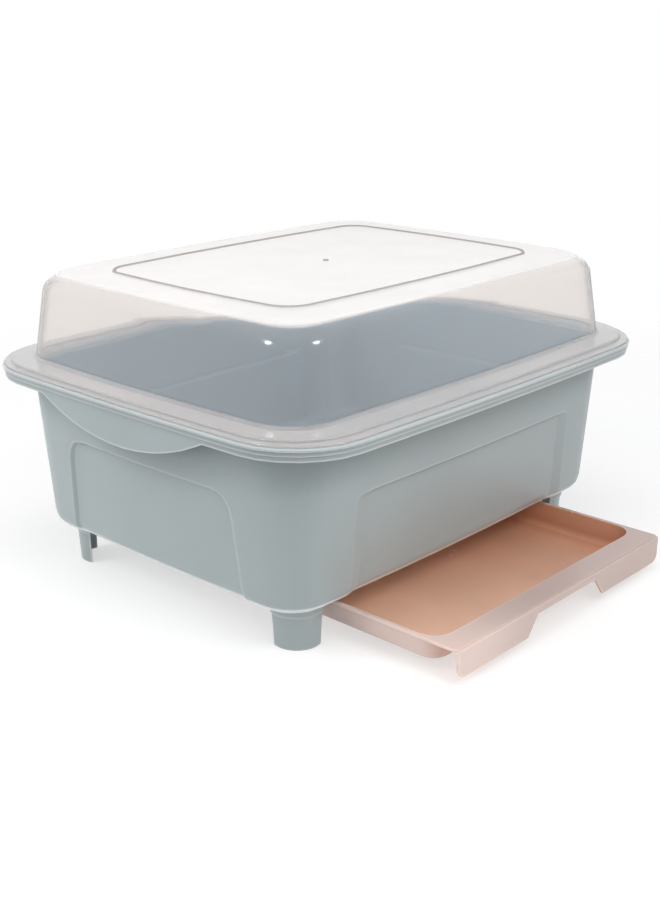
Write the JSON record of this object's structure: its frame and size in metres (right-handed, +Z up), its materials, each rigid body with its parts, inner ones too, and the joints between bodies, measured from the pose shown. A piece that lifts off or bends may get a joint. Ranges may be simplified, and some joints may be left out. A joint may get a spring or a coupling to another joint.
{
  "type": "covered dish drainer",
  "caption": "Tapered plastic dish drainer on feet with a clear domed lid, recessed wall panels, arched end grips, a sliding drip tray, a plate rack and a cutlery holder.",
  "frame": {"origin": "middle of the bounding box in X and Y, on the surface that the feet stand on, with the tray pulled out 100 mm as in the picture", "axes": "+Z up; the tray pulls out towards -Y; X runs along the tub from grip to grip, with the cutlery holder towards -X"},
  "size_m": [0.48, 0.4659, 0.264],
  "materials": {
    "tub": "satin moulded blue-grey plastic",
    "foot": "satin moulded blue-grey plastic",
    "rail": "satin moulded blue-grey plastic",
    "lid": "clear polished plastic",
    "tray": "tinted brown translucent plastic",
    "rack": "satin moulded blue-grey plastic",
    "holder": "satin moulded blue-grey plastic"
  },
  "bodies": {
    "tub": {"tub": "tub", "foot_back_right": "foot", "foot_back_left": "foot", "foot_front_left": "foot", "foot_front_right": "foot", "tray_rail_left": "rail", "tray_rail_right": "rail"},
    "lid": {"lid": "lid"},
    "drip_tray": {"drip_tray": "tray"},
    "plate_rack": {"plate_rack": "rack"},
    "cutlery_holder": {"cutlery_holder": "holder"}
  },
  "joints": [
    {"name": "lid_lift", "type": "slide", "parent": "tub", "child": "lid", "axis": [0, 0, 1], "range_m": [0, 0.12]},
    {"name": "tray_slide", "type": "slide", "parent": "tub", "child": "drip_tray", "axis": [0, -1, 0], "range_m": [-0.1, 0.08]},
    {"name": "rack_lift", "type": "slide", "parent": "tub", "child": "plate_rack", "axis": [0, 0, 1], "range_m": [0, 0.15]},
    {"name": "holder_lift", "type": "slide", "parent": "tub", "child": "cutlery_holder", "axis": [0, 0, 1], "range_m": [0, 0.1]}
  ]
}
